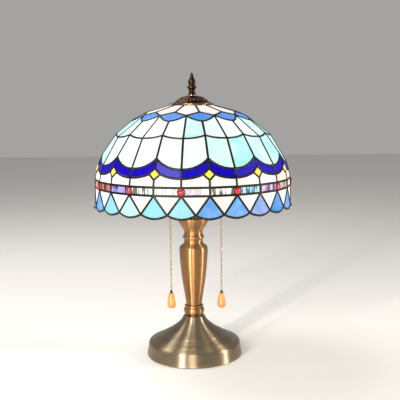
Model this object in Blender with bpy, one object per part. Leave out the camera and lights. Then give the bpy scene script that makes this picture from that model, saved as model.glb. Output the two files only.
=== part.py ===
"""Leaded-glass table lamp: weighted base, turned column, two pull-chain sockets and a domed glass shade.

Units are metres, +Z is up, and the origin is the centre of the base's resting face.
"""

import math

import bmesh
import bpy
from mathutils import Matrix, Vector

# Driving dimensions
GAP = 0.0003  # air kept between pieces that rest on each other
RIM_RADIUS = 0.2004  # shade, at the points between two fans
DOME_RADIUS = 0.1985  # where the dome's curve meets its skirt
DOME_FOOT_Z = 0.345  # level at which the dome's curve would stand upright
DOME_HEIGHT = 0.175
DOME_POWER = 2.1  # 2 is an ellipse, and more is squarer
SKIRT_TOP_Z = 0.360
SKIRT_SLOPE = 0.09
GLASS = 0.0025
SEAM = 0.0018  # clearance left between two rows of glass
LEAD_WIDTH = 0.0042
LEAD_DEPTH = 0.0012
LEAD_CLEARANCE = 0.0008  # between the glass and the lead on it
PERIODS = 12  # scallops round the shade
SHADE_TURN = math.radians(-6.1)  # the shade's first scallop, from straight ahead

ROD_RADIUS = 0.0050
ROD_BORE = 0.0034
ROD_HOLE = 0.0056  # clearance hole for the rod in every turned piece
ROD_TOP = 0.5440

# Two-socket cluster
CLUSTER_TURN = math.radians(11.5)  # about Z
SOCKET_TILT = math.radians(55.0)  # from upright
CLUSTER_ORIGIN = (0.0156, 0.298)  # radius and height where a socket's axis starts
CHAIN_REACH = 0.028  # from the socket's axis to its chain
CHAIN_ALONG = 0.045  # along the socket's axis
CHAIN_RADIUS = 0.0017
CHAIN_TOP = 0.016  # length of chain hidden in the outlet
OUTLET_DROP = 0.014  # outlet's mouth, below the socket's axis
KNOB_LENGTH = 0.0310
KNOB_FOOT = {"left": 0.1073, "right": 0.1013}  # height of each knob's lower end

# Heights of the seams between the rows of glass, at the middle of a scallop and at its point
CROWN_TOP_Z = 0.5168
LENS_SIDE_Z = 0.4975
LENS_TOP_Z = 0.5035
LENS_FOOT_Z = 0.4869
PANEL_SEAM_Z = (0.4567, 0.4622)
SCALLOP_Z = (0.4029, 0.4220)
COBALT_FOOT_Z = 0.3864
DIAMOND_Z = 0.3940
DIAMOND_HALF_HEIGHT = 0.0100
DIAMOND_START = 0.785  # share of a half scallop where the diamond's corner is
BAND_TOP_Z = 0.3706
BAND_FOOT_Z = 0.3556
FAN_TIP_Z = 0.3208
FAN_FOOT_Z = 0.3140
BULGE = 2.4  # how full the curve of a scallop is

# Sides of the turned pieces
WIDE_SIDES = 32
COLUMN_SIDES = 24
SMALL_SIDES = 16
CHAIN_SIDES = 8


def clear_scene():
    for obj in list(bpy.data.objects):
        bpy.data.objects.remove(obj, do_unlink=True)


def finish(name, colour, roughness, metallic=0.0, alpha=1.0):
    made = bpy.data.materials.new(name)
    made.use_nodes = True
    shader = made.node_tree.nodes["Principled BSDF"]
    shader.inputs["Base Color"].default_value = (*colour, 1.0)
    shader.inputs["Roughness"].default_value = roughness
    shader.inputs["Metallic"].default_value = metallic
    shader.inputs["Alpha"].default_value = alpha
    return made


def add_object(name, bm, material, parent=None, sharp=35):
    """Makes an object from a bmesh, shaded smooth but for its sharp edges."""
    bmesh.ops.remove_doubles(bm, verts=bm.verts, dist=1e-6)
    bmesh.ops.recalc_face_normals(bm, faces=bm.faces)
    mesh = bpy.data.meshes.new(name)
    bm.to_mesh(mesh)
    bm.free()
    mesh.shade_smooth()
    mesh.set_sharp_from_angle(angle=math.radians(sharp))
    mesh.materials.append(material)
    obj = bpy.data.objects.new(name, mesh)
    obj.parent = parent
    bpy.context.scene.collection.objects.link(obj)
    return obj


def turned(name, profile, material, segments=SMALL_SIDES, parent=None, closed=True):
    """Spins an outline of (radius, height) points about Z. An outline that starts and ends on the axis isn't closed."""
    bm = bmesh.new()
    points = [bm.verts.new((radius, 0.0, height)) for radius, height in profile]
    edges = [bm.edges.new(pair) for pair in zip(points, points[1:])]
    if closed:
        edges.append(bm.edges.new((points[-1], points[0])))
    bmesh.ops.spin(
        bm,
        geom=points + edges,
        axis=(0, 0, 1),
        cent=(0, 0, 0),
        angle=math.tau,
        steps=segments,
        use_merge=True,
    )
    return add_object(name, bm, material, parent)


def tube(name, outer, inner, low, high, material, segments=SMALL_SIDES, parent=None):
    outline = [(inner, low), (outer, low), (outer, high), (inner, high)]
    return turned(name, outline, material, segments, parent)


def cutter(name, radius, length, parent=None):
    """A cylinder along local Z that only cuts."""
    outline = [(0, 0), (radius, 0), (radius, length), (0, length)]
    obj = turned(name, outline, None, SMALL_SIDES, parent, closed=False)
    obj.hide_render = True
    obj.display_type = "WIRE"
    return obj


def combine(obj, other, operation):
    modifier = obj.modifiers.new(operation.title(), "BOOLEAN")
    modifier.operation = operation
    modifier.object = other
    return obj


def hex_nut(name, across_flats, low, high, material):
    """A hexagonal nut with a clearance hole for the rod."""
    bm = bmesh.new()
    corner = across_flats / 2 / math.cos(math.radians(30))
    bmesh.ops.create_cone(
        bm, segments=6, radius1=corner, radius2=corner, depth=high - low, cap_ends=True
    )
    bmesh.ops.translate(bm, verts=bm.verts, vec=(0, 0, (low + high) / 2))
    obj = add_object(name, bm, material)
    hole = cutter(name + "_hole", ROD_HOLE, high - low + 0.004)
    hole.location.z = low - 0.002
    return combine(obj, hole, "DIFFERENCE")


# Shade


def dome_radius(height):
    """Radius of the shade's outer surface along a seam, at a height."""
    if height <= SKIRT_TOP_Z:
        return RIM_RADIUS + SKIRT_SLOPE * (FAN_TIP_Z - height)
    rise = (height - DOME_FOOT_Z) / DOME_HEIGHT
    return DOME_RADIUS * (1 - rise**DOME_POWER) ** (1 / DOME_POWER)


def shade_point(half, share, height):
    """A point on the flat panel between two neighbouring seams, share of the way from one to the next."""
    ends = []
    for step in (half, half + 1):
        angle = SHADE_TURN + step * math.pi / PERIODS
        radius = dome_radius(height)
        ends.append(Vector((radius * math.sin(angle), -radius * math.cos(angle), height)))
    return ends[0].lerp(ends[1], share)


def curve_between(at_middle, at_point, power=BULGE):
    """Height along a seam that runs from a scallop's middle (0) to its point (1)."""
    return lambda u: at_middle + (at_point - at_middle) * u**power


def level(height):
    return lambda u: height


def lens_foot(u):
    return LENS_SIDE_Z + (LENS_FOOT_Z - LENS_SIDE_Z) * (1 - (1 - u) ** 1.6)


def cobalt_foot(u):
    """Lower edge of the cobalt row, with the diamonds joined to it."""
    if u <= DIAMOND_START:
        return COBALT_FOOT_Z + (DIAMOND_Z - COBALT_FOOT_Z) * (u / DIAMOND_START) ** BULGE
    return DIAMOND_Z - DIAMOND_HALF_HEIGHT * (u - DIAMOND_START) / (1 - DIAMOND_START)


def fan_foot(u):
    """Rounded feet of the fans: lowest at 0 and 1, with the tip between two fans at 0.5."""
    return FAN_TIP_Z + (FAN_FOOT_Z - FAN_TIP_Z) * (1 - (1 - abs(2 * u - 1)) ** 2)


def glass_row(name, seams, shares, material):
    """One row of panels round the shade, joined edge to edge, between seams given as heights along a half scallop."""
    bm = bmesh.new()
    columns = []
    for half in range(2 * PERIODS):
        along = shares[:-1] if half % 2 == 0 else [1 - u for u in reversed(shares)][:-1]
        for share in along:
            u = share if half % 2 == 0 else 1 - share
            heights = [seam(u) for seam in seams]
            heights[0] -= SEAM / 2
            heights[-1] += SEAM / 2
            heights = [max(height, heights[-1]) for height in heights]
            columns.append([bm.verts.new(shade_point(half, share, z)) for z in heights])
    for left, right in zip(columns, columns[1:] + columns[:1]):
        for upper in range(len(seams) - 1):
            lower = upper + 1
            bm.faces.new((left[lower], right[lower], right[upper], left[upper]))
    obj = add_object(name, bm, material, sharp=5)
    wall = obj.modifiers.new("Wall", "SOLIDIFY")
    wall.thickness = GLASS
    wall.offset = -1
    return obj


def lead_net(name, cells, material):
    """Lead strips round every piece of glass, as one net that lies on the outside of the glass."""
    bm = bmesh.new()
    for outline in cells:
        corners = []
        for place, height in outline:
            half = math.floor(place)
            corners.append(bm.verts.new(shade_point(half, place - half, height)))
        bm.faces.new(corners)
    bmesh.ops.remove_doubles(bm, verts=bm.verts, dist=1e-5)
    panes = list(bm.faces)
    bmesh.ops.recalc_face_normals(bm, faces=panes)
    bmesh.ops.inset_individual(bm, faces=panes, thickness=LEAD_WIDTH / 2, use_even_offset=True)
    bmesh.ops.delete(bm, geom=panes, context="FACES")
    obj = add_object(name, bm, material, sharp=5)
    strip = obj.modifiers.new("Strip", "SOLIDIFY")
    strip.thickness = LEAD_DEPTH
    strip.offset = 1 + 2 * LEAD_CLEARANCE / LEAD_DEPTH
    return obj


def build_shade(mats):
    corners = [0.0, 1.0]
    gentle = [0.0, 0.55, 1.0]
    full = [0.0, 0.45, DIAMOND_START, 1.0]
    arcs = [0.0, 0.25, 0.5, 0.75, 1.0]
    crown_top = level(CROWN_TOP_Z + SEAM / 2)
    lens_head = curve_between(LENS_SIDE_Z, LENS_TOP_Z, 1)
    panel_seam = curve_between(*PANEL_SEAM_Z)
    scallop = curve_between(*SCALLOP_Z)
    band_top, band_foot = level(BAND_TOP_Z), level(BAND_FOOT_Z)
    glass_row("crown_glass_row", [crown_top, lens_head, lens_foot], gentle, mats["sky"])
    glass_row("upper_panel_row", [lens_foot, panel_seam], gentle, mats["aqua"])
    glass_row("lower_panel_row", [panel_seam, scallop], full, mats["aqua"])
    glass_row("cobalt_scallop_row", [scallop, cobalt_foot], full, mats["cobalt"])
    glass_row("cream_panel_row", [cobalt_foot, band_top], full, mats["cream"])
    glass_row("ripple_bar_row", [band_top, band_foot], corners, mats["ripple"])
    glass_row("fan_fringe_row", [band_foot, fan_foot], arcs, mats["sky"])

    def along(height, shares):
        return [(u, height(u)) for u in shares]

    diamond_top = (1.0, DIAMOND_Z + DIAMOND_HALF_HEIGHT)
    diamond_foot = (1.0, DIAMOND_Z - DIAMOND_HALF_HEIGHT)
    half_cells = [
        along(lens_foot, gentle) + along(panel_seam, gentle)[::-1],
        along(panel_seam, gentle) + along(scallop, full)[::-1],
        along(scallop, full) + [diamond_top] + along(cobalt_foot, full[:-1])[::-1],
        along(cobalt_foot, full) + [(1.0, BAND_TOP_Z), (0.0, BAND_TOP_Z)],
        [(0.0, BAND_TOP_Z), (1.0, BAND_TOP_Z), (1.0, BAND_FOOT_Z), (0.0, BAND_FOOT_Z)],
        [(0.0, BAND_FOOT_Z), (1.0, BAND_FOOT_Z), (0.5, FAN_TIP_Z)],
    ]
    crown = [(-1.0, CROWN_TOP_Z), (0.0, CROWN_TOP_Z), (1.0, CROWN_TOP_Z)]
    crown += along(lens_head, gentle)[::-1]
    crown += [(-u, lens_head(u)) for u in gentle[1:]]
    lens = [(2.0 - u, lens_head(u)) for u in gentle[::-1]]
    lens += [(2.0 - u, lens_foot(u)) for u in gentle[1:]]
    lens += [(u, lens_foot(u)) for u in gentle[-2::-1]]
    lens += [(u, lens_head(u)) for u in gentle[1:-1]]
    diamond = [diamond_top, (2.0 - DIAMOND_START, DIAMOND_Z), diamond_foot, (DIAMOND_START, DIAMOND_Z)]
    fan = [(0.0, BAND_FOOT_Z)]
    fan += [(place, fan_foot(abs(place))) for place in (0.5, 0.25, 0.0, -0.25, -0.5)]
    cells = []
    for period in range(PERIODS):
        middle = 2 * period
        for outline in half_cells:
            cells.append([(middle + u, z) for u, z in outline])
            cells.append([(middle - u, z) for u, z in outline])
        for outline in (crown, lens, diamond):
            cells.append([(middle + place, z) for place, z in outline])
        for apex in (middle, middle + 1):
            cells.append([(apex + place, z) for place, z in fan])
    lead_net("lead_lattice", cells, mats["lead"])
    crown_inner, crown_outer = 0.0320, 0.0395
    tube("crown_ring", crown_outer, crown_inner, 0.5133, 0.5190, mats["brass"], COLUMN_SIDES)


# Base and column


def build_base(mats):
    skirt_foot = 0.0010
    shell = turned(
        "base_shell",
        [
            (0.0988, skirt_foot),
            (0.0956, 0.0225),
            (0.0948, 0.0262),
            (0.0936, 0.0286),
            (0.0715, 0.0382),
            (0.0690, 0.0408),
            (0.0600, 0.0462),
            (0.0480, 0.0535),
            (0.0380, 0.0610),
            (0.0300, 0.0683),
            (0.0250, 0.0745),
            (0.0222, 0.0800),
            (0.0212, 0.0815),
            (ROD_HOLE, 0.0815),
            (ROD_HOLE, 0.0795),
            (0.0200, 0.0795),
            (0.0232, 0.0728),
            (0.0365, 0.0588),
            (0.0590, 0.0440),
            (0.0836, 0.0306),
            (0.0918, 0.0262),
            (0.0936, 0.0225),
            (0.0968, skirt_foot),
        ],
        mats["bronze"],
        WIDE_SIDES,
    )
    bushing_z = 0.0130
    hole = cutter("bushing_hole", 0.0053, 0.02)
    hole.location = (0, 0.085, bushing_z)
    hole.rotation_euler.x = -math.pi / 2
    combine(shell, hole, "DIFFERENCE")
    bushing = turned(
        "cord_bushing",
        [
            (0.0032, 0.0915),
            (0.0050, 0.0915),
            (0.0050, 0.0988),
            (0.0072, 0.0988),
            (0.0066, 0.1008),
            (0.0032, 0.1012),
        ],
        mats["rubber"],
        SMALL_SIDES,
    )
    bushing.location.z = bushing_z
    bushing.rotation_euler.x = -math.pi / 2
    turned(
        "ballast_weight",
        [
            (ROD_HOLE, 0.0108),
            (0.0640, 0.0108),
            (0.0660, 0.0128),
            (0.0640, 0.0240),
            (0.0200, 0.0260),
            (0.0160, 0.0300),
            (0.0160, 0.0790),
            (ROD_HOLE, 0.0790),
        ],
        mats["iron"],
        COLUMN_SIDES,
    )
    tube("base_pad", 0.0962, 0.0300, 0.0, 0.0030, mats["felt"], WIDE_SIDES)
    tube("base_washer", 0.0150, ROD_HOLE, 0.0090, 0.0105, mats["steel"])
    hex_nut("base_nut", 0.0170, 0.0037, 0.0087, mats["steel"])
    rod_foot = 0.0032
    tube("threaded_rod", ROD_RADIUS, ROD_BORE, rod_foot, ROD_TOP, mats["brass"])


def build_column(mats):
    turned(
        "lower_collar",
        [
            (ROD_HOLE, 0.0818),
            (0.0150, 0.0818),
            (0.0158, 0.0836),
            (0.0178, 0.0842),
            (0.0204, 0.0885),
            (0.0213, 0.0925),
            (0.0206, 0.0962),
            (0.0187, 0.0990),
            (0.0186, 0.1004),
            (0.0196, 0.1020),
            (0.0190, 0.1038),
            (ROD_HOLE, 0.1038),
        ],
        mats["copper"],
        COLUMN_SIDES,
    )
    turned(
        "column_body",
        [
            (ROD_HOLE, 0.1041),
            (0.0158, 0.1041),
            (0.0166, 0.1080),
            (0.0193, 0.1270),
            (0.0233, 0.1520),
            (0.0266, 0.1780),
            (0.0287, 0.2030),
            (0.0295, 0.2170),
            (0.0293, 0.2235),
            (0.0278, 0.2280),
            (0.0250, 0.2305),
            (0.0215, 0.2320),
            (0.0202, 0.2345),
            (ROD_HOLE, 0.2345),
            (ROD_HOLE, 0.2320),
            (0.0180, 0.2310),
            (0.0258, 0.2260),
            (0.0272, 0.2170),
            (0.0243, 0.1780),
            (0.0170, 0.1270),
            (0.0135, 0.1065),
            (ROD_HOLE, 0.1065),
        ],
        mats["copper"],
        COLUMN_SIDES,
    )
    turned(
        "neck_ring",
        [
            (ROD_HOLE, 0.2348),
            (0.0196, 0.2348),
            (0.0197, 0.2420),
            (0.0208, 0.2446),
            (0.0220, 0.2470),
            (0.0218, 0.2492),
            (0.0202, 0.2515),
            (0.0192, 0.2535),
            (ROD_HOLE, 0.2535),
        ],
        mats["copper"],
        COLUMN_SIDES,
    )
    turned(
        "top_cup",
        [
            (ROD_HOLE, 0.2538),
            (0.0190, 0.2538),
            (0.0191, 0.2600),
            (0.0230, 0.2665),
            (0.0274, 0.2730),
            (0.0306, 0.2795),
            (0.0328, 0.2870),
            (0.0313, 0.2870),
            (0.0290, 0.2798),
            (0.0255, 0.2732),
            (0.0180, 0.2620),
            (ROD_HOLE, 0.2600),
        ],
        mats["copper"],
        COLUMN_SIDES,
    )


# Cluster, sockets and chains


def socket_frame(side):
    """World matrix of a socket: its Z runs out of the cluster and its X to the chain. side is 1 or -1."""
    outward = side * Vector((math.cos(CLUSTER_TURN), math.sin(CLUSTER_TURN), 0))
    to_chain = Vector((math.sin(CLUSTER_TURN), -math.cos(CLUSTER_TURN), 0))
    axis = math.sin(SOCKET_TILT) * outward + math.cos(SOCKET_TILT) * Vector((0, 0, 1))
    radius, height = CLUSTER_ORIGIN
    start = outward * radius + Vector((0, 0, height))
    columns = Matrix((to_chain, axis.cross(to_chain), axis)).transposed()
    return Matrix.Translation(start) @ columns.to_4x4()


def chain_place(side):
    """Point on the chain's line, at the height of the socket's axis."""
    return socket_frame(side) @ Vector((CHAIN_REACH, 0, CHAIN_ALONG))


def build_cluster(mats):
    turned(
        "cluster_body",
        [
            (ROD_HOLE, 0.2625),
            (0.0120, 0.2625),
            (0.0120, 0.2850),
            (0.0190, 0.2856),
            (0.0212, 0.2880),
            (0.0212, 0.3110),
            (0.0190, 0.3150),
            (0.0120, 0.3176),
            (ROD_HOLE, 0.3180),
        ],
        mats["brass"],
        COLUMN_SIDES,
    )
    hex_nut("cluster_nut", 0.0140, 0.3183, 0.3223, mats["brass"])


def build_socket(label, side, mats):
    frame = bpy.data.objects.new(f"socket_frame_{label}", None)
    frame.matrix_world = socket_frame(side)
    bpy.context.scene.collection.objects.link(frame)
    tube(f"socket_arm_{label}", 0.0050, 0.0034, 0.0108, 0.0330, mats["brass"], SMALL_SIDES, frame)
    turned(
        f"socket_cap_{label}",
        [
            (0.0036, 0.0333),
            (0.0080, 0.0333),
            (0.0135, 0.0352),
            (0.0165, 0.0395),
            (0.0170, 0.0450),
            (0.0170, 0.0552),
            (0.0160, 0.0552),
            (0.0160, 0.0450),
            (0.0155, 0.0402),
            (0.0128, 0.0362),
            (0.0036, 0.0343),
        ],
        mats["brass"],
        SMALL_SIDES,
        frame,
    )
    turned(
        f"socket_shell_{label}",
        [
            (0.0160, 0.0555),
            (0.0176, 0.0555),
            (0.0176, 0.0580),
            (0.0168, 0.0590),
            (0.0168, 0.0900),
            (0.0174, 0.0910),
            (0.0158, 0.0910),
            (0.0158, 0.0600),
        ],
        mats["brass"],
        SMALL_SIDES,
        frame,
    )
    tube(f"socket_liner_{label}", 0.0155, 0.0136, 0.0560, 0.0895, mats["porcelain"], SMALL_SIDES, frame)
    turned(
        f"bulb_base_{label}",
        [
            (0, 0.0600),
            (0.0045, 0.0600),
            (0.0060, 0.0625),
            (0.0130, 0.0650),
            (0.0132, 0.0880),
            (0, 0.0880),
        ],
        mats["steel"],
        SMALL_SIDES,
        frame,
        closed=False,
    )
    ball_centre, ball = 0.1375, 0.0275
    glass = [(0, 0.0883), (0.0130, 0.0883), (0.0134, 0.0950), (0.0165, 0.1080), (0.0228, 0.1215)]
    for step in range(7):
        angle = math.radians(-15 + 17.5 * step)
        glass.append((ball * math.cos(angle), ball_centre + ball * math.sin(angle)))
    glass[-1] = (0, ball_centre + ball)
    turned(f"bulb_glass_{label}", glass, mats["frosted"], SMALL_SIDES, frame, closed=False)
    drum = turned(
        f"switch_drum_{label}",
        [
            (0.0012, -0.0026),
            (0.0084, -0.0026),
            (0.0084, -0.0020),
            (0.0068, -0.0012),
            (0.0068, 0.0012),
            (0.0084, 0.0020),
            (0.0084, 0.0026),
            (0.0012, 0.0026),
        ],
        mats["steel"],
        SMALL_SIDES,
        frame,
    )
    drum.location.z = CHAIN_ALONG
    drum.rotation_euler.x = math.pi / 2


def build_chain(label, side, mats):
    place = chain_place(side)
    mouth = -OUTLET_DROP
    outlet = turned(
        f"chain_outlet_{label}",
        [(0, 0.0040), (0.0036, 0.0040), (0.0036, mouth + 0.0030), (0.0050, mouth), (0, mouth)],
        mats["brass"],
        CHAIN_SIDES,
        closed=False,
    )
    outlet.location = place
    lug = cutter(f"outlet_lug_{label}", 0.0026, CHAIN_REACH - 0.0173)
    lug.location = place
    lug.rotation_mode = "QUATERNION"
    to_socket = Vector((-math.sin(CLUSTER_TURN), math.cos(CLUSTER_TURN), 0))
    lug.rotation_quaternion = to_socket.to_track_quat("Z", "Y")
    combine(outlet, lug, "UNION")
    bore = cutter(f"outlet_bore_{label}", 0.0023, OUTLET_DROP + 0.0080)
    bore.location = place + Vector((0, 0, mouth - 0.0020))
    combine(outlet, bore, "DIFFERENCE")

    knob_foot = KNOB_FOOT[label]
    bead = place.z + mouth - 0.0022
    spread = 0.0021
    ends = [
        (f"chain_top_{label}", bead + spread, bead + spread + CHAIN_TOP),
        (f"pull_chain_{label}", knob_foot + KNOB_LENGTH + GAP, bead - spread),
    ]
    for name, low, high in ends:
        outline = [(0, low), (CHAIN_RADIUS, low), (CHAIN_RADIUS, high), (0, high)]
        piece = turned(name, outline, mats["chain"], CHAIN_SIDES, closed=False)
        piece.location = (place.x, place.y, 0)
    bm = bmesh.new()
    bmesh.ops.create_icosphere(bm, subdivisions=2, radius=CHAIN_RADIUS)
    link = add_object(f"chain_link_{label}", bm, mats["chain"])
    link.location = (place.x, place.y, bead)
    knob = turned(
        f"pull_knob_{label}",
        [
            (0, 0),
            (0.0052, 0.0004),
            (0.0078, 0.0026),
            (0.0086, 0.0065),
            (0.0084, 0.0105),
            (0.0062, KNOB_LENGTH - 0.0060),
            (0.0055, KNOB_LENGTH - 0.0020),
            (0.0044, KNOB_LENGTH - 0.0003),
            (0, KNOB_LENGTH),
        ],
        mats["wood"],
        SMALL_SIDES,
        closed=False,
    )
    knob.location = (place.x, place.y, knob_foot)


# Top fittings


def build_top(mats):
    hex_nut("seat_nut", 0.0140, 0.5055, 0.5099, mats["brass"])
    turned(
        "shade_seat",
        [
            (ROD_HOLE, 0.5102),
            (0.0120, 0.5102),
            (0.0340, 0.5110),
            (0.0365, 0.5125),
            (0.0355, 0.5130),
            (0.0120, 0.5122),
            (ROD_HOLE, 0.5122),
        ],
        mats["brass"],
        COLUMN_SIDES,
    )
    turned(
        "vase_cap",
        [
            (ROD_HOLE, 0.5354),
            (0.0100, 0.5354),
            (0.0155, 0.5346),
            (0.0232, 0.5322),
            (0.0300, 0.5277),
            (0.0345, 0.5236),
            (0.0400, 0.5212),
            (0.0462, 0.5208),
            (0.0466, 0.5198),
            (0.0400, 0.5195),
            (0.0330, 0.5222),
            (0.0286, 0.5265),
            (0.0225, 0.5308),
            (0.0152, 0.5331),
            (0.0100, 0.5300),
            (ROD_HOLE, 0.5300),
        ],
        mats["dark_bronze"],
        WIDE_SIDES,
    )
    washer_radius = 0.0085
    tube("finial_washer", washer_radius, ROD_HOLE, 0.5357, 0.5365, mats["brass"])
    turned(
        "finial",
        [
            (0, 0.5813),
            (0.0016, 0.5806),
            (0.0030, 0.5775),
            (0.0034, 0.5740),
            (0.0042, 0.5712),
            (0.0062, 0.5680),
            (0.0075, 0.5635),
            (0.0074, 0.5600),
            (0.0062, 0.5572),
            (0.0066, 0.5560),
            (0.0094, 0.5540),
            (0.0098, 0.5522),
            (0.0090, 0.5502),
            (0.0070, 0.5488),
            (0.0066, 0.5430),
            (0.0070, 0.5396),
            (0.0088, 0.5380),
            (0.0090, 0.5368),
            (0.0053, 0.5368),
            (0.0053, 0.5455),
            (0, 0.5470),
        ],
        mats["dark_bronze"],
        SMALL_SIDES,
        closed=False,
    )


def main():
    clear_scene()
    mats = {
        "bronze": finish("brushed_bronze", (0.42, 0.34, 0.25), 0.32, 1.0),
        "copper": finish("brushed_copper", (0.60, 0.38, 0.20), 0.30, 1.0),
        "dark_bronze": finish("dark_bronze", (0.10, 0.06, 0.03), 0.42, 1.0),
        "brass": finish("brass", (0.55, 0.40, 0.18), 0.35, 1.0),
        "chain": finish("chain_metal", (0.60, 0.50, 0.34), 0.30, 1.0),
        "steel": finish("zinc_steel", (0.60, 0.60, 0.58), 0.40, 1.0),
        "iron": finish("cast_iron", (0.08, 0.08, 0.08), 0.70, 0.6),
        "lead": finish("lead_solder", (0.07, 0.07, 0.06), 0.45, 0.8),
        "rubber": finish("black_rubber", (0.02, 0.02, 0.02), 0.60),
        "felt": finish("black_felt", (0.03, 0.03, 0.03), 0.95),
        "wood": finish("amber_wood", (0.80, 0.42, 0.08), 0.35),
        "porcelain": finish("porcelain", (0.80, 0.78, 0.72), 0.30),
        "frosted": finish("frosted_bulb", (0.95, 0.92, 0.84), 0.45),
        "cream": finish("cream_glass", (0.90, 0.84, 0.76), 0.20, 0.0, 0.9),
        "aqua": finish("aqua_glass", (0.70, 0.88, 0.86), 0.20, 0.0, 0.9),
        "sky": finish("sky_glass", (0.12, 0.36, 0.85), 0.20, 0.0, 0.9),
        "cobalt": finish("cobalt_glass", (0.03, 0.01, 0.50), 0.15, 0.0, 0.9),
        "ripple": finish("ripple_glass", (0.80, 0.80, 0.78), 0.25, 0.0, 0.8),
    }
    build_base(mats)
    build_column(mats)
    build_cluster(mats)
    for label, side in (("left", -1), ("right", 1)):
        build_socket(label, side, mats)
        build_chain(label, side, mats)
    build_top(mats)
    build_shade(mats)


main()
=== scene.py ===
"""Finished look of a leaded-glass table lamp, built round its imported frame."""

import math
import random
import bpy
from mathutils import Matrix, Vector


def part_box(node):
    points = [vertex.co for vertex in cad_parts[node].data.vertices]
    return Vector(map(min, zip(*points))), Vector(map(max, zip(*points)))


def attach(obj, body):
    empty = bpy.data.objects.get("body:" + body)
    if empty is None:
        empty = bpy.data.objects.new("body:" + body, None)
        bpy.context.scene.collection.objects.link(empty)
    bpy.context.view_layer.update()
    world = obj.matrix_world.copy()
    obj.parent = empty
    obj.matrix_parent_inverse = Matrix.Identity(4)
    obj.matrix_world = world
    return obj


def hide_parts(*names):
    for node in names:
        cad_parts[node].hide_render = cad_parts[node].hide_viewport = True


bl_info = {
    "name": "Leaded Glass Table Lamp",
    "version": (1, 0, 0),
    "blender": (4, 5, 0),
    "location": "3D View > Sidebar > Lamp",
    "description": "Models the glass, solder, turned metal and pull chains of a leaded-glass table lamp",
    "category": "Object",
}

import bmesh
import bpy
from mathutils import Matrix, Vector

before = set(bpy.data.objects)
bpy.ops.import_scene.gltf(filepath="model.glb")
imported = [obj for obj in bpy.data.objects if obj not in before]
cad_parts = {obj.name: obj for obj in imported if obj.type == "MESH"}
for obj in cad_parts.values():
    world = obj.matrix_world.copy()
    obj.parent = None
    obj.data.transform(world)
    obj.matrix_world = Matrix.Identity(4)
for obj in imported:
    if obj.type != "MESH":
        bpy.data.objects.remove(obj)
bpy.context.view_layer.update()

SIDES = ("left", "right")


def linear(red, green, blue):
    """A display colour, 0 to 255, as the linear values that shaders use."""
    channels = []
    for value in (red, green, blue):
        share = value / 255
        channels.append(share / 12.92 if share <= 0.04045 else ((share + 0.055) / 1.055) ** 2.4)
    return tuple(channels)


# Settings


def length(label, about, default):
    return bpy.props.FloatProperty(
        name=label, description=about, default=default, precision=5, unit="LENGTH", subtype="DISTANCE"
    )


def number(label, about, default):
    return bpy.props.FloatProperty(name=label, description=about, default=default)


def angle(label, about, degrees):
    return bpy.props.FloatProperty(
        name=label, description=about, default=math.radians(degrees), subtype="ANGLE"
    )


def colour(label, about, default):
    return bpy.props.FloatVectorProperty(
        name=label, description=about, default=default, subtype="COLOR", size=3, min=0.0, max=1.0
    )


class LampShadeSizes(bpy.types.PropertyGroup):
    """Sizes of the shade, its glass and its lead."""

    periods: bpy.props.IntProperty(
        name="Scallops", description="Scallops round the shade", default=12, min=3
    )
    turn: angle("Turn", "Place of the first scallop, from straight ahead", -6.1)
    dome_radius: length("Dome radius", "Radius where the dome meets its skirt", 0.1985)
    dome_foot: length("Dome foot", "Level at which the dome's curve stands upright", 0.345)
    dome_height: length("Dome height", "Height of the dome's curve", 0.175)
    dome_power: number("Dome fullness", "2 is an ellipse, and more is squarer", 2.1)
    rim_radius: length("Rim radius", "Radius at the points between two fans", 0.2004)
    skirt_top: length("Skirt top", "Level where the skirt starts", 0.360)
    skirt_slope: number("Skirt slope", "How far the skirt flares for each metre of drop", 0.09)
    glass: length("Glass thickness", "Thickness of the sheet glass", 0.0025)
    lead_width: length("Lead width", "Width of a lead line", 0.0042)
    lead_rise: length("Lead rise", "Height of a lead line's crown above the glass", 0.0015)


class LampMetalSizes(bpy.types.PropertyGroup):
    """Sizes of the turned metal, the sockets and the chains."""

    turned_sides: bpy.props.IntProperty(
        name="Turned sides", description="Sides of a large turned piece", default=96, min=12
    )
    cluster_turn: angle("Cluster turn", "Turn of the two sockets", 11.5)
    socket_tilt: angle("Socket tilt", "Lean of a socket from upright", 55)
    bead: length("Chain bead", "Diameter of a chain's beads", 0.0037)
    bead_pitch: length("Bead pitch", "Distance between two beads", 0.0052)


class LampColours(bpy.types.PropertyGroup):
    """Colours of the glass and the metals."""

    cream: colour("Cream", "Frieze and triangle glass", linear(255, 252, 247))
    peach: colour("Peach", "Warmer frieze glass", linear(252, 222, 196))
    crown: colour("Crown", "Glass of the top row", linear(255, 240, 232))
    ice: colour("Ice", "Panels near the front", linear(240, 255, 253))
    aqua: colour("Aqua", "Panels at the sides", linear(160, 244, 236))
    lens: colour("Lens", "Lens-shaped pieces", linear(90, 155, 245))
    cobalt: colour("Cobalt", "Scalloped band", linear(24, 0, 198))
    amber: colour("Amber", "Diamonds", linear(250, 214, 84))
    ruby: colour("Ruby", "Cabochons", linear(225, 0, 38))
    lead: colour("Lead", "Patinated solder", linear(40, 40, 33))
    copper: colour("Copper", "Column's metal", linear(186, 138, 92))
    bronze: colour("Bronze", "Base's metal", linear(160, 143, 118))
    dark_bronze: colour("Dark bronze", "Cap and finial", linear(58, 42, 32))
    wood: colour("Wood", "Knobs on the chains", linear(222, 145, 58))


def shade_sizes():
    return bpy.context.scene.lamp_shade_sizes


def metal_sizes():
    return bpy.context.scene.lamp_metal_sizes


def colours():
    return bpy.context.scene.lamp_colours


# Node groups shared by the materials


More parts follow.
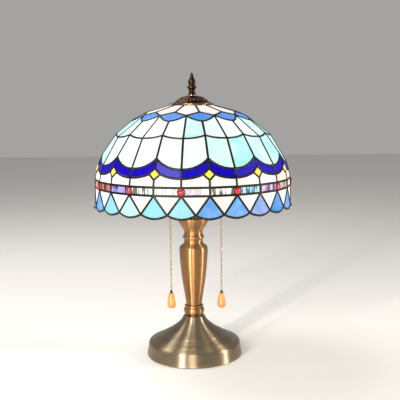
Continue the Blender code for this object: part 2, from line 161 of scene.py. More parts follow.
class Graph:
    """Adds nodes and links to one node tree."""

    def __init__(self, tree):
        self.tree = tree
        self.column = 0

    def add(self, kind, settings=None, **inputs):
        node = self.tree.nodes.new(kind)
        self.column += 1
        node.location = (self.column * 180, 0)
        for key, value in (settings or {}).items():
            setattr(node, key, value)
        for key, value in inputs.items():
            self.feed(node, key.replace("_", " "), value)
        return node

    def feed(self, node, socket, value):
        target = node.inputs[int(socket)] if socket.isdigit() else node.inputs[socket]
        if isinstance(value, bpy.types.NodeSocket):
            self.tree.links.new(value, target)
        else:
            target.default_value = value

    def place(self):
        """Each point's place on its own piece."""
        return self.add("ShaderNodeTexCoord").outputs["Object"]

    def painted(self, name):
        """A colour that the piece's own faces hold."""
        return self.add("ShaderNodeAttribute", {"attribute_name": name}).outputs["Color"]

    def stretched(self, upright):
        """The place on the piece, with patterns drawn out along Z."""
        node = self.add("ShaderNodeMapping", Vector=self.place())
        node.inputs["Scale"].default_value = (1.0, 1.0, upright)
        return node.outputs[0]

    def math(self, operation, first, second=0.0, clamp=False):
        node = self.add("ShaderNodeMath", {"operation": operation, "use_clamp": clamp})
        self.feed(node, "0", first)
        self.feed(node, "1", second)
        return node.outputs[0]

    def mix(self, factor, first, second, blend="MIX"):
        node = self.add("ShaderNodeMix", {"data_type": "RGBA", "blend_type": blend})
        self.feed(node, "0", factor)
        self.feed(node, "6", first)
        self.feed(node, "7", second)
        return node.outputs[2]

    def scaled(self, tint, level):
        """A colour made darker or brighter by a value."""
        grey = self.add("ShaderNodeCombineXYZ", X=level, Y=level, Z=level)
        return self.mix(1.0, tint, grey.outputs[0], "MULTIPLY")

    def ramp(self, factor, low, high):
        """0 below low, 1 above high, and an even rise between them."""
        node = self.add("ShaderNodeMapRange", {"clamp": True})
        self.feed(node, "0", factor)
        self.feed(node, "1", low)
        self.feed(node, "2", high)
        return node.outputs[0]

    def noise(self, vector, scale, detail=3.0, roughness=0.55, distortion=0.0):
        node = self.add("ShaderNodeTexNoise")
        for socket, value in (
            ("Vector", vector),
            ("Scale", scale),
            ("Detail", detail),
            ("Roughness", roughness),
            ("Distortion", distortion),
        ):
            self.feed(node, socket, value)
        return node.outputs[0]


def new_group(name, inputs, outputs):
    """An empty shader group with its sockets. inputs and outputs are (name, socket type, default)."""
    group = bpy.data.node_groups.new(name, "ShaderNodeTree")
    for label, kind, default in inputs:
        socket = group.interface.new_socket(name=label, in_out="INPUT", socket_type=kind)
        socket.default_value = default
    for label, kind in outputs:
        group.interface.new_socket(name=label, in_out="OUTPUT", socket_type=kind)
    graph = Graph(group)
    return group, graph, graph.add("NodeGroupInput"), graph.add("NodeGroupOutput")


NUMBER, PAINT = "NodeSocketFloat", "NodeSocketColor"
WHITE = (1.0, 1.0, 1.0, 1.0)
BLACK = (0.0, 0.0, 0.0, 1.0)
SMOKE_GREY = (0.3, 0.26, 0.26)


def lathe_grain_group():
    """Fine rings round Z, as a lathe or a circular brush leaves them."""
    group, g, source, result = new_group(
        "Lathe Grain",
        [("Scale", NUMBER, 900.0), ("Wander", NUMBER, 2.0)],
        [("Rings", NUMBER), ("Patches", NUMBER)],
    )
    place = g.place()
    split = g.add("ShaderNodeSeparateXYZ", Vector=place)
    flat = g.add("ShaderNodeCombineXYZ", X=split.outputs[0], Y=split.outputs[1], Z=0.0)
    radius = g.add("ShaderNodeVectorMath", {"operation": "LENGTH"})
    g.feed(radius, "0", flat.outputs[0])
    turn = g.math("ARCTAN2", split.outputs[1], split.outputs[0])
    around = g.math("MULTIPLY", g.math("SINE", turn), source.outputs["Wander"])
    across = g.math("MULTIPLY", radius.outputs["Value"], source.outputs["Scale"])
    along = g.math("MULTIPLY", split.outputs[2], source.outputs["Scale"])
    strand = g.add("ShaderNodeCombineXYZ", X=across, Y=along, Z=around)
    g.feed(result, "Rings", g.noise(strand.outputs[0], 1.0, detail=4.0, roughness=0.7))
    g.feed(result, "Patches", g.noise(place, 38.0, detail=4.0, roughness=0.6, distortion=0.4))
    return group


def wear_group():
    """Mask of rubbed edges, broken up by a fine noise."""
    group, g, source, result = new_group(
        "Rubbed Edges", [("Amount", NUMBER, 0.6), ("Grain", NUMBER, 160.0)], [("Mask", NUMBER)]
    )
    place = g.place()
    edge = g.ramp(g.add("ShaderNodeNewGeometry").outputs["Pointiness"], 0.505, 0.57)
    broken = g.ramp(g.noise(place, source.outputs["Grain"], detail=5.0, roughness=0.65), 0.35, 0.65)
    worn = g.math("MULTIPLY", edge, broken)
    g.feed(result, "Mask", g.math("MULTIPLY", worn, source.outputs["Amount"], clamp=True))
    return group


GLOW_REACH = (0.05, 0.26)


def opal_group():
    """Milky swirls, fine seeds and a soft glow round the two bulbs, laid over a pane's own tint."""
    group, g, source, result = new_group(
        "Opal Glass",
        [
            ("Tint", PAINT, WHITE),
            ("Milk", PAINT, WHITE),
            ("Swirl Scale", NUMBER, 22.0),
            ("Swirl", NUMBER, 0.5),
            ("Depth", NUMBER, 0.35),
        ],
        [("Color", PAINT), ("Height", NUMBER), ("Glow", NUMBER)],
    )
    place = g.place()
    swirl = g.noise(place, source.outputs["Swirl Scale"], detail=5.0, roughness=0.6, distortion=1.6)
    streak = g.ramp(swirl, 0.42, 0.66)
    milk = g.math("MULTIPLY", streak, source.outputs["Swirl"])
    milky = g.mix(milk, source.outputs["Tint"], source.outputs["Milk"])
    fine = g.noise(place, 140.0, detail=3.0, roughness=0.6, distortion=0.3)
    shade = g.math("MULTIPLY", g.ramp(fine, 0.30, 0.75), source.outputs["Depth"])
    dark = g.math("SUBTRACT", 1.0, g.math("MULTIPLY", shade, 0.35))
    g.feed(result, "Color", g.scaled(milky, dark))
    g.feed(result, "Height", g.math("ADD", g.math("MULTIPLY", swirl, 0.7), g.math("MULTIPLY", fine, 0.3)))
    glows = []
    for side in (-1, 1):
        centre = socket_matrix(side) @ Vector((0, 0, BULB_CENTRE))
        gap = g.add("ShaderNodeVectorMath", {"operation": "DISTANCE"})
        g.feed(gap, "0", place)
        gap.inputs[1].default_value = centre
        glows.append(g.math("SUBTRACT", 1.0, g.ramp(gap.outputs["Value"], *GLOW_REACH)))
    g.feed(result, "Glow", g.math("MAXIMUM", *glows))
    return group


def ripple_group():
    """Upright ripples with smoky streaks between them."""
    group, g, source, result = new_group(
        "Rippled Sheet",
        [("Tint", PAINT, WHITE), ("Streak", PAINT, (*SMOKE_GREY, 1.0)), ("Amount", NUMBER, 0.5)],
        [("Color", PAINT), ("Height", NUMBER)],
    )
    place = g.place()
    ribs = g.noise(g.stretched(0.10), 230.0, detail=1.0, roughness=0.4, distortion=0.2)
    stripes = g.ramp(ribs, 0.48, 0.54)
    gather = g.ramp(g.noise(place, 24.0, detail=2.0, roughness=0.5), 0.34, 0.48)
    smoke = g.math("MULTIPLY", g.math("MULTIPLY", stripes, gather), source.outputs["Amount"])
    g.feed(result, "Color", g.mix(smoke, source.outputs["Tint"], source.outputs["Streak"]))
    g.feed(result, "Height", ribs)
    return group


GROUPS = {}


def use_group(graph, name, **inputs):
    builders = {
        "Lathe Grain": lathe_grain_group,
        "Rubbed Edges": wear_group,
        "Opal Glass": opal_group,
        "Rippled Sheet": ripple_group,
    }
    if name not in GROUPS:
        GROUPS[name] = builders[name]()
    node = graph.add("ShaderNodeGroup", {"node_tree": GROUPS[name]})
    for key, value in inputs.items():
        graph.feed(node, key.replace("_", " "), value)
    return node


# Materials

MATERIALS = {}


def material(name):
    """Builds a material the first time it is asked for."""
    if name not in MATERIALS:
        made = bpy.data.materials.new(name)
        made.use_nodes = True
        shader = made.node_tree.nodes["Principled BSDF"]
        MATERIAL_BUILDERS[name](Graph(made.node_tree), shader)
        MATERIALS[name] = made
    return MATERIALS[name]


def rgba(values):
    return (*values, 1.0)


def darker(values, share):
    return tuple(value * share for value in values)


def set_values(node, **values):
    """Sets a node's plain values. An underscore stands for a space in a socket's name."""
    for key, value in values.items():
        node.inputs[key.replace("_", " ")].default_value = value


def bump(g, shader, height, strength, distance):
    node = g.add("ShaderNodeBump", Height=height, Strength=strength, Distance=distance)
    g.feed(shader, "Normal", node.outputs[0])


def turned_metal(setting, dark_share, bright, rough=(0.28, 0.40), ring_scale=1500.0):
    """Circular-brushed metal with tarnish in patches and rubbed edges. setting names its colour."""

    def build(g, shader):
        base = getattr(colours(), setting)
        dark = darker(base, dark_share)
        grain = use_group(g, "Lathe Grain", Scale=ring_scale)
        edges = use_group(g, "Rubbed Edges", Amount=0.7)
        rings, patches = grain.outputs["Rings"], grain.outputs["Patches"]
        tone = g.mix(g.ramp(rings, 0.25, 0.75), rgba(dark), rgba(base))
        tarnish = g.math("MULTIPLY", g.ramp(patches, 0.50, 0.80), 0.30)
        tone = g.mix(tarnish, tone, rgba(darker(dark, 0.7)))
        g.feed(shader, "Base Color", g.mix(edges.outputs[0], tone, rgba(bright)))
        low, high = rough
        spread = g.math("MULTIPLY", rings, high - low)
        mottled = g.math("MULTIPLY", patches, 0.08)
        g.feed(shader, "Roughness", g.math("ADD", g.math("ADD", spread, mottled), low))
        set_values(shader, Metallic=1.0, Anisotropic=0.95, Anisotropic_Rotation=0.25)
        around = g.add("ShaderNodeTangent", {"direction_type": "RADIAL", "axis": "Z"})
        g.feed(shader, "Tangent", around.outputs[0])
        bump(g, shader, rings, strength=0.18, distance=0.00005)

    return build


def plain_metal(base, rough=0.35, grain=240.0):
    """Machined or plated metal with faint mottling."""

    def build(g, shader):
        mottle = g.noise(g.place(), grain, detail=4.0, roughness=0.6)
        edges = use_group(g, "Rubbed Edges", Amount=0.5)
        tone = g.mix(g.ramp(mottle, 0.35, 0.7), rgba(base), rgba(darker(base, 0.55)))
        g.feed(shader, "Base Color", g.mix(edges.outputs[0], tone, rgba(darker(base, 1.5))))
        g.feed(shader, "Roughness", g.math("ADD", g.math("MULTIPLY", mottle, 0.3), rough - 0.12))
        set_values(shader, Metallic=1.0)
        bump(g, shader, mottle, strength=0.15, distance=0.0001)

    return build


def solder(g, shader):
    """Patinated solder: lumpy, nearly black, with bare metal on its highest parts."""
    lead = colours().lead
    place = g.place()
    lumps = g.noise(place, 210.0, detail=4.0, roughness=0.6, distortion=0.5)
    patina = g.noise(place, 55.0, detail=5.0, roughness=0.65, distortion=0.8)
    tone = g.mix(g.ramp(patina, 0.35, 0.7), rgba(darker(lead, 0.45)), rgba(lead))
    edges = use_group(g, "Rubbed Edges", Amount=0.35)
    tone = g.mix(edges.outputs[0], tone, rgba(linear(88, 84, 70)))
    g.feed(shader, "Base Color", tone)
    g.feed(shader, "Roughness", g.math("ADD", g.math("MULTIPLY", patina, 0.35), 0.22))
    set_values(shader, Metallic=0.85)
    bump(g, shader, lumps, strength=0.5, distance=0.0006)


UNLIT_DARKNESS = 0.86
EDGE_LIGHT, BULB_LIGHT = 0.72, 0.42


def light_through(g, shader, tone, shown):
    """Glass lit from behind: nearly black to light from outside, with its colour in what it gives out."""
    g.feed(shader, "Base Color", g.mix(UNLIT_DARKNESS, tone, BLACK))
    g.feed(shader, "Emission Color", shown)


def opal_glass(milk, swirl_scale, swirl, strength, depth=0.35, rough=0.32):
    """Opalescent sheet, lit from inside the shade, with each pane's own tint."""

    def build(g, shader):
        opal = use_group(
            g,
            "Opal Glass",
            Tint=g.painted("Tint"),
            Milk=rgba(milk),
            Swirl_Scale=swirl_scale,
            Swirl=swirl,
            Depth=depth,
        )
        tone = opal.outputs["Color"]
        level = g.math("ADD", g.math("MULTIPLY", opal.outputs["Glow"], BULB_LIGHT), EDGE_LIGHT)
        light_through(g, shader, tone, g.scaled(tone, level))
        set_values(shader, Emission_Strength=strength, Roughness=rough)
        set_values(shader, Transmission_Weight=0.15, Specular_IOR_Level=0.06)
        bump(g, shader, opal.outputs["Height"], strength=0.5, distance=0.0007)

    return build


def ripple_glass(g, shader):
    """Ripple glass, lit from inside, with each bar's own tint and streaks."""
    sheet = use_group(
        g, "Rippled Sheet", Tint=g.painted("Tint"), Streak=g.painted("Streak"), Amount=1.0
    )
    tone = sheet.outputs["Color"]
    light_through(g, shader, tone, tone)
    set_values(shader, Emission_Strength=1.0, Roughness=0.3)
    set_values(shader, Transmission_Weight=0.2, Specular_IOR_Level=0.08)
    bump(g, shader, sheet.outputs["Height"], strength=0.8, distance=0.0016)


def jewel_glass(setting, strength):
    """Pressed or faceted glass, clear through but for faint stria, glowing in its own colour as painted
    light from the bulbs behind it. setting names its colour.
    """

    def build(g, shader):
        tint = getattr(colours(), setting)
        stria = g.noise(g.place(), 120.0, detail=3.0, roughness=0.5, distortion=1.2)
        tone = g.mix(g.ramp(stria, 0.35, 0.7), rgba(tint), rgba(darker(tint, 0.55)))
        g.feed(shader, "Base Color", tone)
        # Painted light: the jewel gives out its own colour, standing in for the bulbs shining through it.
        g.feed(shader, "Emission Color", tone)
        set_values(shader, Emission_Strength=strength, Roughness=0.05)
        set_values(shader, Transmission_Weight=0.25, Coat_Weight=0.6)
        bump(g, shader, stria, strength=0.2, distance=0.0004)

    return build


def bulb_glass(g, shader):
    """Frosted glass, warm and lit."""
    frost = g.noise(g.place(), 300.0, detail=4.0, roughness=0.6)
    tone = g.mix(g.ramp(frost, 0.3, 0.7), rgba(linear(255, 222, 160)), rgba(linear(255, 206, 130)))
    g.feed(shader, "Base Color", tone)
    g.feed(shader, "Emission Color", tone)
    set_values(shader, Emission_Strength=5.0, Roughness=0.45)
    bump(g, shader, frost, strength=0.2, distance=0.0001)


def knob_wood(g, shader):
    """Lacquered turned wood with its grain along the knob."""
    wood = colours().wood
    grain = g.noise(g.stretched(0.12), 900.0, detail=5.0, roughness=0.65, distortion=1.4)
    tone = g.mix(g.ramp(grain, 0.35, 0.7), rgba(wood), rgba(darker(wood, 0.62)))
    g.feed(shader, "Base Color", tone)
    g.feed(shader, "Roughness", g.math("ADD", g.math("MULTIPLY", grain, 0.25), 0.3))
    set_values(shader, Coat_Weight=0.5, Coat_Roughness=0.12)
    bump(g, shader, grain, strength=0.2, distance=0.0002)


def mottled(base, dark, rough, grain, depth, metallic=0.0):
    """A matt or glazed surface with a fine grain."""

    def build(g, shader):
        fine = g.noise(g.place(), grain, detail=5.0, roughness=0.7)
        g.feed(shader, "Base Color", g.mix(g.ramp(fine, 0.3, 0.7), rgba(dark), rgba(base)))
        g.feed(shader, "Roughness", g.math("ADD", g.math("MULTIPLY", fine, 0.2), rough - 0.1))
        set_values(shader, Metallic=metallic)
        bump(g, shader, fine, strength=0.6, distance=depth)

    return build


MATERIAL_BUILDERS = {
    "Antique Copper": turned_metal("copper", dark_share=0.6, bright=linear(246, 206, 150)),
    "Antique Bronze": turned_metal(
        "bronze", dark_share=0.62, bright=linear(226, 190, 145), rough=(0.27, 0.40), ring_scale=2200.0
    ),
    "Dark Bronze": turned_metal(
        "dark_bronze", dark_share=0.35, bright=linear(170, 120, 76), rough=(0.24, 0.40), ring_scale=1200.0
    ),
    "Machined Brass": plain_metal(linear(190, 155, 95), rough=0.34),
    "Ball Chain": plain_metal(linear(176, 150, 108), rough=0.26, grain=400.0),
    "Zinc Steel": plain_metal(linear(176, 176, 172), rough=0.38),
    "Cast Iron": mottled(
        (0.05, 0.05, 0.05), (0.018, 0.018, 0.018), rough=0.75, grain=420.0, depth=0.0008, metallic=0.4
    ),
    "Black Rubber": mottled((0.03, 0.03, 0.03), (0.012, 0.012, 0.012), rough=0.6, grain=600.0, depth=0.0001),
    "Black Felt": mottled(
        (0.045, 0.042, 0.04), (0.008, 0.008, 0.008), rough=0.95, grain=1400.0, depth=0.0006
    ),
    "Porcelain": mottled((0.80, 0.78, 0.72), (0.68, 0.65, 0.58), rough=0.3, grain=90.0, depth=0.0001),
    "Patinated Solder": solder,
    "Top Row Opal": opal_glass(linear(255, 255, 255), swirl_scale=26.0, swirl=0.35, strength=1.1),
    "Panel Opal": opal_glass(linear(255, 255, 255), swirl_scale=14.0, swirl=0.55, strength=1.12),
    "Lens Opal": opal_glass(linear(150, 195, 255), swirl_scale=40.0, swirl=0.3, strength=0.95),
    "Cobalt Cathedral": opal_glass(
        linear(34, 0, 226), swirl_scale=18.0, swirl=0.4, strength=0.92, depth=0.8, rough=0.3
    ),
    "Cream Opal": opal_glass(linear(255, 252, 240), swirl_scale=30.0, swirl=0.5, strength=1.14),
    "Fan Opal": opal_glass(linear(200, 228, 255), swirl_scale=26.0, swirl=0.35, strength=0.98),
    "Rippled Glass": ripple_glass,
    "Amber Facets": jewel_glass("amber", strength=0.75),
    "Ruby Glass": jewel_glass("ruby", strength=0.45),
    "Frosted Bulb": bulb_glass,
    "Lacquered Wood": knob_wood,
}


# Modelling helpers

WELD = 2e-6
AXIS = (0, 0, 1)
TURNED_SHARP = 38.0


def close_up(bm):
    """Joins vertices that meet, and turns the faces outwards."""
    bmesh.ops.remove_doubles(bm, verts=bm.verts, dist=WELD)
    bmesh.ops.recalc_face_normals(bm, faces=bm.faces)


def make_piece(name, bm, finish, body, replaces, sharp, modifiers):
    """Shades a finished mesh, and makes it a piece that rides on a body."""
    mesh = bpy.data.meshes.new(name)
    bm.to_mesh(mesh)
    bm.free()
    mesh.shade_smooth()
    if sharp:
        mesh.set_sharp_from_angle(angle=math.radians(sharp))
    mesh.materials.append(material(finish))
    piece = bpy.data.objects.new(name, mesh)
    bpy.context.scene.collection.objects.link(piece)
    for kind, settings in modifiers:
        modifier = piece.modifiers.new(kind.title(), kind)
        for key, value in settings.items():
            setattr(modifier, key, value)
    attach(piece, body)
    if replaces:
        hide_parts(*replaces)
    return piece


def make_solid(name, bm, finish, body, replaces=(), sharp=35.0, modifiers=()):
    """Makes a piece of a mesh that is closed once its vertices are joined."""
    close_up(bm)
    return make_piece(name, bm, finish, body, replaces, sharp, modifiers)


def soft_edges(width):
    angle_limit = math.radians(TURNED_SHARP)
    return "BEVEL", {"width": width, "segments": 2, "limit_method": "ANGLE", "angle_limit": angle_limit}


def flow(*points, steps=5):
    """A smooth curve through (radius, height) points, as points close together."""
    ends = [points[0], *points, points[-1]]
    curve = []
    for before, start, end, after in zip(ends, ends[1:], ends[2:], ends[3:]):
        for step in range(steps):
            t = step / steps
            place = []
            for a, b, c, d in zip(before, start, end, after):
                bend = (2 * a - 5 * b + 4 * c - d) * t * t + (3 * b - a - 3 * c + d) * t**3
                place.append(0.5 * (2 * b + (c - a) * t + bend))
            curve.append((max(place[0], 0.0), place[1]))
    curve.append(points[-1])
    return curve


def bead(radius, centre, size, start=-80, end=80, steps=8):
    """A rounded bead standing out from a turned piece, from its foot up."""
    arc = []
    for step in range(steps + 1):
        angle = math.radians(start + (end - start) * step / steps)
        arc.append((radius + size * math.cos(angle), centre + size * math.sin(angle)))
    return arc


def spin_outline(bm, outline, sides, matrix=None, closed=True):
    """Spins an outline of (radius, height) points about Z, closing it unless it ends on the axis."""
    verts = [bm.verts.new((radius, 0.0, height)) for radius, height in outline]
    edges = [bm.edges.new(pair) for pair in zip(verts, verts[1:])]
    if closed and (outline[0][0] > 0 or outline[-1][0] > 0):
        edges.append(bm.edges.new((verts[-1], verts[0])))
    before = set(bm.verts) - set(verts)
    bmesh.ops.spin(
        bm, geom=verts + edges, axis=AXIS, cent=(0, 0, 0), angle=math.tau, steps=sides, use_merge=True
    )
    if matrix:
        made = [vert for vert in bm.verts if vert not in before]
        bmesh.ops.transform(bm, matrix=matrix, verts=made)


def turned(name, outline, finish, body, replaces=(), sides=None, matrix=None, edge=0.0003):
    """A piece turned about Z, or about the Z of a matrix, with its edges softened."""
    bm = bmesh.new()
    spin_outline(bm, outline, sides or metal_sizes().turned_sides, matrix)
    extras = [soft_edges(edge)] if edge else []
    return make_solid(name, bm, finish, body, replaces, sharp=TURNED_SHARP, modifiers=extras)


def place_over(centre, direction):
    """Matrix that puts a shape's Z along a direction at a place."""
    return Matrix.Translation(centre) @ direction.to_track_quat("Z", "Y").to_matrix().to_4x4()


# Shade geometry. Levels are heights above the table. A pair runs from a scallop's middle to its point.

CROWN_TOP = 0.5168
LENS_SIDE, LENS_TOP, LENS_FOOT = 0.4975, 0.5035, 0.4869
PANEL_SEAM = (0.4567, 0.4622)
SCALLOP = (0.4029, 0.4220)
COBALT_FOOT = 0.3864
DIAMOND_LEVEL, DIAMOND_HALF = 0.3940, 0.0100
DIAMOND_START = 0.785
BAND_TOP, BAND_FOOT = 0.3706, 0.3556
FAN_TIP, FAN_FOOT = 0.3208, 0.3140
FULLNESS = 2.4
BULB_CENTRE = 0.1375


def dome_radius(height):
    s = shade_sizes()
    if height <= s.skirt_top:
        return s.rim_radius + s.skirt_slope * (FAN_TIP - height)
    rise = (height - s.dome_foot) / s.dome_height
    return s.dome_radius * (1 - rise**s.dome_power) ** (1 / s.dome_power)


def shade_point(place, height):
    """A point of the shade's outer face. place counts half scallops round from the front."""
    s = shade_sizes()
    half = math.floor(place)
    ends = []
    for step in (half, half + 1):
        angle = s.turn + step * math.pi / s.periods
        radius = dome_radius(height)
        ends.append(Vector((radius * math.sin(angle), -radius * math.cos(angle), height)))
    return ends[0].lerp(ends[1], place - half)


def lens_head(u):
    return LENS_SIDE + (LENS_TOP - LENS_SIDE) * u


def lens_foot(u):
    return LENS_SIDE + (LENS_FOOT - LENS_SIDE) * (1 - (1 - u) ** 1.6)


def panel_seam(u):
    return PANEL_SEAM[0] + (PANEL_SEAM[1] - PANEL_SEAM[0]) * u**FULLNESS


def scallop(u):
    return SCALLOP[0] + (SCALLOP[1] - SCALLOP[0]) * u**FULLNESS


def cobalt_foot(u):
    if u <= DIAMOND_START:
        return COBALT_FOOT + (DIAMOND_LEVEL - COBALT_FOOT) * (u / DIAMOND_START) ** FULLNESS
    return DIAMOND_LEVEL - DIAMOND_HALF * (u - DIAMOND_START) / (1 - DIAMOND_START)


def fan_foot(u):
    return FAN_TIP + (FAN_FOOT - FAN_TIP) * (1 - (1 - abs(2 * u - 1)) ** 2)


def along(height, shares):
    return [(u, height(u)) for u in shares]


def mirrored(outline):
    return [(-u, z) for u, z in outline]


def pane_outlines():
    """Every pane by kind, as (place, outline). Places are in half scallops, an outline's from its pane's."""
    straight = [0.0, 0.5, 1.0]
    gentle = [0.0, 0.2, 0.4, 0.6, 0.8, 1.0]
    full = [0.0, 0.2, 0.4, 0.6, DIAMOND_START, 0.9, 1.0]
    foot = [u for u in full if u <= DIAMOND_START]
    foot_and_point = foot + [1.0]
    diamond_top = (1.0, DIAMOND_LEVEL + DIAMOND_HALF)
    diamond_foot = (1.0, DIAMOND_LEVEL - DIAMOND_HALF)
    halves = {
        "upper": along(lens_foot, gentle) + along(panel_seam, gentle)[::-1],
        "lower": along(panel_seam, gentle) + along(scallop, full)[::-1],
        "cobalt": along(scallop, full) + [diamond_top] + along(cobalt_foot, foot)[::-1],
        "frieze": along(cobalt_foot, foot_and_point) + [(u, BAND_TOP) for u in straight[::-1]],
        "bar": [(u, BAND_TOP) for u in straight] + [(u, BAND_FOOT) for u in straight[::-1]],
        "triangle": [(u, BAND_FOOT) for u in straight] + [(0.5, FAN_TIP)],
    }
    crown = [(u, CROWN_TOP) for u in (-1.0, -0.5, 0.0, 0.5, 1.0)]
    crown += along(lens_head, gentle)[::-1] + mirrored(along(lens_head, gentle))[1:]
    half_lens = along(lens_head, gentle)[::-1] + along(lens_foot, gentle)[1:]
    lens = [(1.0 - u, z) for u, z in half_lens]
    lens += [(u - 1.0, z) for u, z in half_lens[::-1][1:-1]]
    diamond = [
        (0.0, diamond_top[1]),
        (1.0 - DIAMOND_START, DIAMOND_LEVEL),
        (0.0, diamond_foot[1]),
        (DIAMOND_START - 1.0, DIAMOND_LEVEL),
    ]
    arc = [0.5, 0.4, 0.3, 0.2, 0.1, 0.0, -0.1, -0.2, -0.3, -0.4, -0.5]
    fan = [(0.0, BAND_FOOT)] + [(u, fan_foot(abs(u))) for u in arc]
    panes = {kind: [] for kind in (*halves, "crown", "lens", "diamond", "fan")}
    for period in range(shade_sizes().periods):
        middle = 2 * period
        for kind, outline in halves.items():
            panes[kind].append((middle, outline))
            panes[kind].append((middle, mirrored(outline)))
        panes["crown"].append((middle, crown))
        panes["lens"].append((middle + 1, lens))
        panes["diamond"].append((middle + 1, diamond))
        panes["fan"].append((middle, fan))
        panes["fan"].append((middle + 1, fan))
    return panes


def pane_face(bm, place, outline):
    corners = [bm.verts.new(shade_point(place + u, height)) for u, height in outline]
    return bm.faces.new(corners)


def outward(faces):
    """Turns each face so that it looks away from the lamp's axis and up."""
    upward = 0.05
    for face in faces:
        face.normal_update()
        centre = face.calc_center_median()
        if face.normal.dot(Vector((centre.x, centre.y, upward))) < 0:
            face.normal_flip()


# Socket geometry. CLUSTER_START is (distance from the axis, level), and the rest are in a socket's frame.

CLUSTER_START = (0.0156, 0.298)
CHAIN_REACH, CHAIN_ALONG = 0.028, 0.045
OUTLET_DROP = 0.014
SOCKET_SIDE = 0.0173
SOCKET_DOME = ((0.0090, 0.0335), (0.0130, 0.0350), (0.0160, 0.0388), (0.0169, 0.0440), (0.0169, 0.0535))


def socket_matrix(side):
    """A socket's frame: Z runs out of the cluster and X to the chain."""
    m = metal_sizes()
    out = side * Vector((math.cos(m.cluster_turn), math.sin(m.cluster_turn), 0))
    to_chain = Vector((math.sin(m.cluster_turn), -math.cos(m.cluster_turn), 0))
    axis = math.sin(m.socket_tilt) * out + math.cos(m.socket_tilt) * Vector((0, 0, 1))
    start = out * CLUSTER_START[0] + Vector((0, 0, CLUSTER_START[1]))
    turn = Matrix((to_chain, axis.cross(to_chain), axis)).transposed().to_4x4()
    return Matrix.Translation(start) @ turn


def chain_place(side):
    return socket_matrix(side) @ Vector((CHAIN_REACH, 0, CHAIN_ALONG))


# Tints of the panes, counted round from the front


def tinted(kind, index, rng):
    """A pane's own tint and the colour of its streaks."""
    c = colours()
    turn = index % (2 * shade_sizes().periods)
    streak = SMOKE_GREY
    if kind in ("upper", "lower"):
        tint = Vector(c.ice).lerp(Vector(c.aqua), PANEL_DEPTHS[kind][turn])
    elif kind == "frieze":
        warmth = PEACH_WARMTH if turn in PEACH_PANES else rng.uniform(0, 0.2)
        tint = Vector(c.cream).lerp(Vector(c.peach), warmth)
    elif kind == "triangle":
        tint = Vector(c.cream).lerp(Vector(c.peach), rng.uniform(0, 0.25))
    elif kind == "fan":
        tint = Vector(FAN_TINTS[turn])
    elif kind == "bar":
        tint, streak = Vector(BAR_TINTS[turn][0]), BAR_TINTS[turn][1]
    else:
        tint = Vector(getattr(c, kind))
    return tint * rng.uniform(0.90, 1.0), streak


PEACH_PANES, PEACH_WARMTH = (4, 5, 15, 16), 0.85
PANEL_DEPTHS = {
    "upper": [0.55, 0.15, 0.05, 0.1, 0.5, 1.0, 0.6, 0.2, 0.0, 0.4, 0.9, 0.3]
    + [0.1, 0.6, 1.0, 0.4, 0.0, 0.2, 0.7, 1.0, 0.5, 0.1, 0.0, 0.1],
    "lower": [0.05, 0.45, 1.0, 0.7, 1.0, 0.9, 0.3, 0.1, 0.5, 1.0, 0.6, 0.2]
    + [0.0, 0.3, 0.8, 1.0, 0.4, 0.1, 0.6, 0.9, 0.15, 0.05, 0.0, 0.0],
}
LIGHT_BLUE = linear(150, 222, 255)
MINT = linear(204, 254, 250)
POOL = linear(162, 238, 254)
CORNFLOWER = linear(106, 176, 252)
PERIWINKLE = linear(125, 160, 232)
STEEL_BLUE = linear(78, 156, 232)
FAN_TINTS = (
    [POOL, CORNFLOWER, CORNFLOWER, PERIWINKLE, STEEL_BLUE, STEEL_BLUE]
    + [CORNFLOWER, LIGHT_BLUE, POOL, MINT, CORNFLOWER, CORNFLOWER]
    + [PERIWINKLE, STEEL_BLUE, LIGHT_BLUE, MINT, POOL, POOL]
    + [LIGHT_BLUE, CORNFLOWER, CORNFLOWER, LIGHT_BLUE, MINT, POOL]
)
CLEAR = (linear(255, 252, 250), linear(206, 198, 204))
SMOKE = (linear(250, 246, 236), linear(96, 96, 88))
MAUVE = (linear(226, 196, 226), linear(104, 70, 122))
SEA = (linear(190, 228, 240), linear(52, 112, 140))
VIOLET = (linear(178, 176, 244), linear(58, 44, 140))
ROSE = (linear(196, 128, 116), linear(84, 22, 24))
SAND = (linear(214, 204, 188), linear(92, 80, 70))
STREAKED = (linear(250, 250, 246), linear(104, 110, 102))
BAR_TINTS = (
    [CLEAR, SMOKE, SEA, MAUVE, SAND, CLEAR]
    + [VIOLET, SMOKE, SEA, STREAKED, ROSE, CLEAR]
    + [SAND, MAUVE, STREAKED, SEA, CLEAR, SMOKE]
    + [VIOLET, SAND, ROSE, VIOLET, STREAKED, CLEAR]
)


HALF_SCALLOP_KINDS = ("upper", "lower", "cobalt", "frieze", "bar", "triangle")


def cut_slabs(bm, faces, under_lead):
    """Draws each pane in from the middle of its lead, drops the strip left over, and thickens it."""
    s = shade_sizes()
    outward(faces)
    inset = s.lead_width / 2 - under_lead
    rim = bmesh.ops.inset_individual(bm, faces=faces, thickness=inset, use_even_offset=True)["faces"]
    bmesh.ops.delete(bm, geom=rim, context="FACES")
    bmesh.ops.solidify(bm, geom=faces, thickness=s.glass)


def build_panes(name, kind, finish, node):
    """Every pane of one kind: each is its own flat slab, tucked under the lead round it."""
    rng = random.Random(name)
    bm = bmesh.new()
    tint_layer = bm.faces.layers.float_vector.new("Tint")
    streak_layer = bm.faces.layers.float_vector.new("Streak")
    faces = []
    for place, outline in pane_outlines()[kind]:
        face = pane_face(bm, place, outline)
        middle = sum(u for u, _ in outline) / len(outline)
        index = math.floor(place + middle) if kind in HALF_SCALLOP_KINDS else place
        tint, streak = tinted(kind, index, rng)
        face[tint_layer] = tint
        face[streak_layer] = Vector(streak)
        faces.append(face)
    cut_slabs(bm, faces, under_lead=0.0008)
    make_solid(name, bm, finish, "shade", [node], sharp=30.0)


